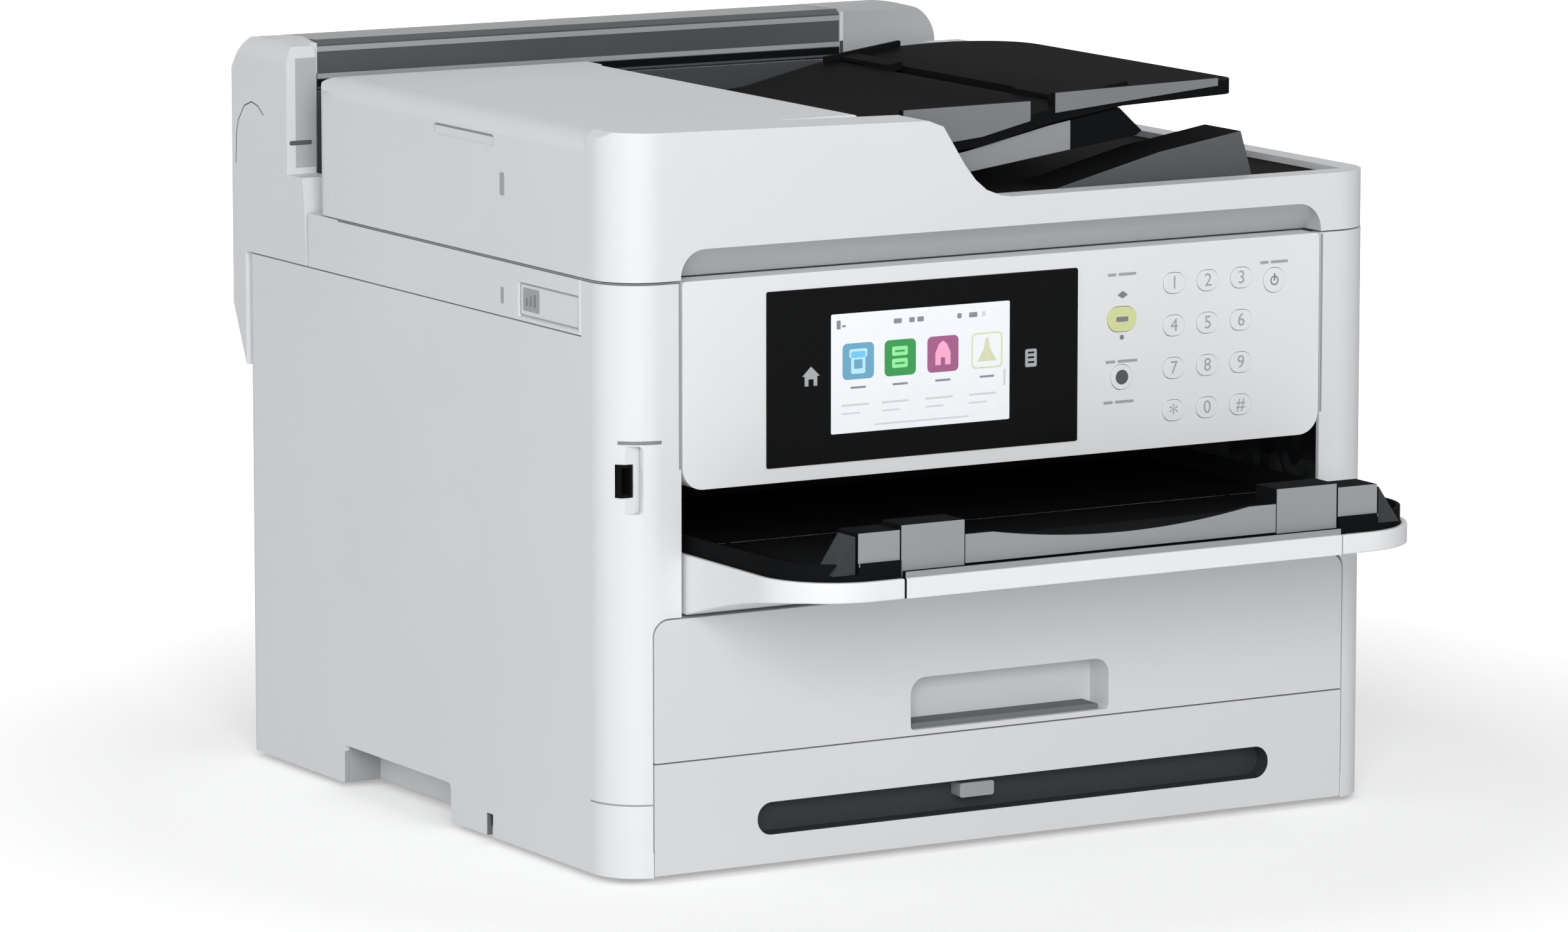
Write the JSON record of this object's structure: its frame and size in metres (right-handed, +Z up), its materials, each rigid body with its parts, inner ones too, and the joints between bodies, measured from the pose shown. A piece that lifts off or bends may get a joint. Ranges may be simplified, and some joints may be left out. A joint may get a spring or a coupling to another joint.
{
  "type": "inkjet printer",
  "caption": "Office inkjet multifunction printer: flatbed scanner with document feeder, tilting touch panel with keys, paper cassette, rear feed and pull-out output tray.",
  "frame": {"origin": "on the floor under the middle of the bounding box", "axes": "+Z up, +Y to the rear of the printer, +X to the right of someone who faces its control panel"},
  "size_m": [0.425, 0.535, 0.366],
  "materials": {
    "cover_white": "fine satin texture",
    "panel_white": "smooth satin",
    "bay_black": "fine texture",
    "trim_grey": "satin",
    "pan_grey": "fine texture",
    "frame_steel": "galvanised",
    "foot_rubber": "matt",
    "display_glass": "gloss",
    "key_white": "satin",
    "key_green": "satin",
    "key_dark": "satin",
    "board_green": "lacquered",
    "ink_film": "metallised film",
    "platen_glass": "polished",
    "mat_white": "soft foam",
    "flap_grey": "satin",
    "tray_dark": "fine texture",
    "roller_rubber": "ground rubber"
  },
  "bodies": {
    "chassis": {"base_pan": "pan_grey", "rubber_feet": "foot_rubber", "left_cover": "cover_white", "right_cover": "cover_white", "rear_panel": "cover_white", "chassis_frame": "frame_steel", "output_bay": "bay_black", "output_tray": "cover_white", "tray_liner": "bay_black", "guide_rail": "frame_steel", "platen": "tray_dark", "power_supply": "frame_steel", "main_board": "board_green", "power_inlet": "bay_black", "usb_port": "bay_black", "ink_tray": "tray_dark", "ink_pack": "ink_film", "screws": "frame_steel", "feeder_housing": "cover_white"},
    "ink_door": {"ink_cover": "cover_white"},
    "cassette": {"cassette_tray": "tray_dark", "cassette_front": "cover_white"},
    "left_side_guide": {"guide_left": "trim_grey"},
    "right_side_guide": {"guide_right": "trim_grey"},
    "rear_guide": {"length_guide": "trim_grey"},
    "paper_plate": {"lift_plate": "frame_steel"},
    "control_panel": {"panel_shell": "panel_white", "panel_glass": "display_glass"},
    "extension": {"tray_extension": "bay_black"},
    "stopper": {"paper_stopper": "trim_grey"},
    "scanner": {"scanner_housing": "cover_white", "scanner_glass": "platen_glass"},
    "scan_head": {"scan_carriage": "tray_dark"},
    "lid": {"document_cover": "cover_white", "document_bed": "bay_black", "backing_mat": "mat_white"},
    "feeder_lid": {"adf_cover": "cover_white"},
    "input_tray": {"document_tray": "bay_black"},
    "front_document_guide": {"document_guide_front": "trim_grey"},
    "rear_document_guide": {"document_guide_rear": "trim_grey"},
    "pickup_roller": {"adf_roller": "roller_rubber"},
    "rear_flap": {"feeder_flap": "flap_grey"},
    "rear_door": {"rear_cover": "cover_white"},
    "carriage": {"print_carriage": "tray_dark"},
    "paper_roller": {"feed_roller": "roller_rubber"},
    "key_1_cap": {"key_1": "key_white"},
    "key_2_cap": {"key_2": "key_white"},
    "key_3_cap": {"key_3": "key_white"},
    "key_4_cap": {"key_4": "key_white"},
    "key_5_cap": {"key_5": "key_white"},
    "key_6_cap": {"key_6": "key_white"},
    "key_7_cap": {"key_7": "key_white"},
    "key_8_cap": {"key_8": "key_white"},
    "key_9_cap": {"key_9": "key_white"},
    "key_star_cap": {"key_star": "key_white"},
    "key_0_cap": {"key_0": "key_white"},
    "key_hash_cap": {"key_hash": "key_white"},
    "start_key_cap": {"start_key": "key_green"},
    "stop_key_cap": {"stop_key": "key_dark"},
    "power_key_cap": {"power_key": "key_white"}
  },
  "joints": [
    {"name": "ink_cover_hinge", "type": "hinge", "parent": "chassis", "child": "ink_door", "pos_m": [0, -0.1545, 0.01], "axis": [1, 0, 0], "range_deg": [0, 80]},
    {"name": "cassette_slide", "type": "slide", "parent": "chassis", "child": "cassette", "axis": [0, -1, 0], "range_m": [0, 0.28]},
    {"name": "guide_left_slide", "type": "slide", "parent": "cassette", "child": "left_side_guide", "axis": [1, 0, 0], "range_m": [0, 0.038]},
    {"name": "guide_right_slide", "type": "slide", "parent": "cassette", "child": "right_side_guide", "axis": [1, 0, 0], "range_m": [-0.038, 0]},
    {"name": "length_guide_slide", "type": "slide", "parent": "cassette", "child": "rear_guide", "axis": [0, -1, 0], "range_m": [0, 0.05]},
    {"name": "lift_plate_hinge", "type": "hinge", "parent": "cassette", "child": "paper_plate", "pos_m": [0, -0.1305, 0.0627], "axis": [1, 0, 0], "range_deg": [0, 12]},
    {"name": "panel_hinge", "type": "hinge", "parent": "chassis", "child": "control_panel", "pos_m": [0, -0.1535, 0.277], "axis": [-1, 0, 0], "range_deg": [0, 45]},
    {"name": "extension_slide", "type": "slide", "parent": "chassis", "child": "extension", "axis": [0, -1, 0], "range_m": [0, 0.085]},
    {"name": "stopper_hinge", "type": "hinge", "parent": "extension", "child": "stopper", "pos_m": [0, -0.2575, 0.161], "axis": [1, 0, 0], "range_deg": [0, 60]},
    {"name": "scanner_hinge", "type": "hinge", "parent": "chassis", "child": "scanner", "pos_m": [0, 0.1505, 0.274], "axis": [-1, 0, 0], "range_deg": [0, 12]},
    {"name": "scan_head_slide", "type": "slide", "parent": "scanner", "child": "scan_head", "axis": [1, 0, 0], "range_m": [0, 0.26]},
    {"name": "document_cover_hinge", "type": "hinge", "parent": "scanner", "child": "lid", "pos_m": [0, 0.1525, 0.344], "axis": [-1, 0, 0], "range_deg": [0, 60]},
    {"name": "adf_cover_hinge", "type": "hinge", "parent": "lid", "child": "feeder_lid", "pos_m": [-0.072, -0.0045, 0.345], "axis": [0, -1, 0], "range_deg": [-60, 0]},
    {"name": "document_tray_hinge", "type": "hinge", "parent": "lid", "child": "input_tray", "pos_m": [-0.054, -0.0065, 0.3265], "axis": [0, 1, 0], "range_deg": [-45, 0]},
    {"name": "document_guide_front_slide", "type": "slide", "parent": "input_tray", "child": "front_document_guide", "axis": [0, 1, 0], "range_m": [0, 0.055]},
    {"name": "document_guide_rear_slide", "type": "slide", "parent": "input_tray", "child": "rear_document_guide", "axis": [0, 1, 0], "range_m": [-0.055, 0]},
    {"name": "adf_roller_spin", "type": "hinge", "parent": "lid", "child": "pickup_roller", "pos_m": [-0.096, -0.0065, 0.324], "axis": [0, 1, 0], "continuous": true},
    {"name": "feeder_flap_hinge", "type": "hinge", "parent": "chassis", "child": "rear_flap", "pos_m": [0, 0.225, 0.361], "axis": [1, 0, 0], "range_deg": [-95, 0]},
    {"name": "rear_cover_hinge", "type": "hinge", "parent": "chassis", "child": "rear_door", "pos_m": [0, 0.2275, 0.052], "axis": [-1, 0, 0], "range_deg": [0, 70]},
    {"name": "carriage_slide", "type": "slide", "parent": "chassis", "child": "carriage", "axis": [1, 0, 0], "range_m": [-0.26, 0]},
    {"name": "feed_roller_spin", "type": "hinge", "parent": "chassis", "child": "paper_roller", "pos_m": [0, 0.0455, 0.176], "axis": [1, 0, 0], "continuous": true},
    {"name": "key_1_push", "type": "slide", "parent": "control_panel", "child": "key_1_cap", "axis": [0, 1, 0], "range_m": [0, 0.0008], "stiffness_N_per_m": 600},
    {"name": "key_2_push", "type": "slide", "parent": "control_panel", "child": "key_2_cap", "axis": [0, 1, 0], "range_m": [0, 0.0008], "stiffness_N_per_m": 600},
    {"name": "key_3_push", "type": "slide", "parent": "control_panel", "child": "key_3_cap", "axis": [0, 1, 0], "range_m": [0, 0.0008], "stiffness_N_per_m": 600},
    {"name": "key_4_push", "type": "slide", "parent": "control_panel", "child": "key_4_cap", "axis": [0, 1, 0], "range_m": [0, 0.0008], "stiffness_N_per_m": 600},
    {"name": "key_5_push", "type": "slide", "parent": "control_panel", "child": "key_5_cap", "axis": [0, 1, 0], "range_m": [0, 0.0008], "stiffness_N_per_m": 600},
    {"name": "key_6_push", "type": "slide", "parent": "control_panel", "child": "key_6_cap", "axis": [0, 1, 0], "range_m": [0, 0.0008], "stiffness_N_per_m": 600},
    {"name": "key_7_push", "type": "slide", "parent": "control_panel", "child": "key_7_cap", "axis": [0, 1, 0], "range_m": [0, 0.0008], "stiffness_N_per_m": 600},
    {"name": "key_8_push", "type": "slide", "parent": "control_panel", "child": "key_8_cap", "axis": [0, 1, 0], "range_m": [0, 0.0008], "stiffness_N_per_m": 600},
    {"name": "key_9_push", "type": "slide", "parent": "control_panel", "child": "key_9_cap", "axis": [0, 1, 0], "range_m": [0, 0.0008], "stiffness_N_per_m": 600},
    {"name": "key_star_push", "type": "slide", "parent": "control_panel", "child": "key_star_cap", "axis": [0, 1, 0], "range_m": [0, 0.0008], "stiffness_N_per_m": 600},
    {"name": "key_0_push", "type": "slide", "parent": "control_panel", "child": "key_0_cap", "axis": [0, 1, 0], "range_m": [0, 0.0008], "stiffness_N_per_m": 600},
    {"name": "key_hash_push", "type": "slide", "parent": "control_panel", "child": "key_hash_cap", "axis": [0, 1, 0], "range_m": [0, 0.0008], "stiffness_N_per_m": 600},
    {"name": "start_key_push", "type": "slide", "parent": "control_panel", "child": "start_key_cap", "axis": [0, 1, 0], "range_m": [0, 0.0008], "stiffness_N_per_m": 600},
    {"name": "stop_key_push", "type": "slide", "parent": "control_panel", "child": "stop_key_cap", "axis": [0, 1, 0], "range_m": [0, 0.0008], "stiffness_N_per_m": 600},
    {"name": "power_key_push", "type": "slide", "parent": "control_panel", "child": "power_key_cap", "axis": [0, 1, 0], "range_m": [0, 0.0008], "stiffness_N_per_m": 600}
  ],
  "couplings": [
    {"joint": "guide_right_slide", "follows": "guide_left_slide", "ratio": -1},
    {"joint": "document_guide_rear_slide", "follows": "document_guide_front_slide", "ratio": -1}
  ]
}
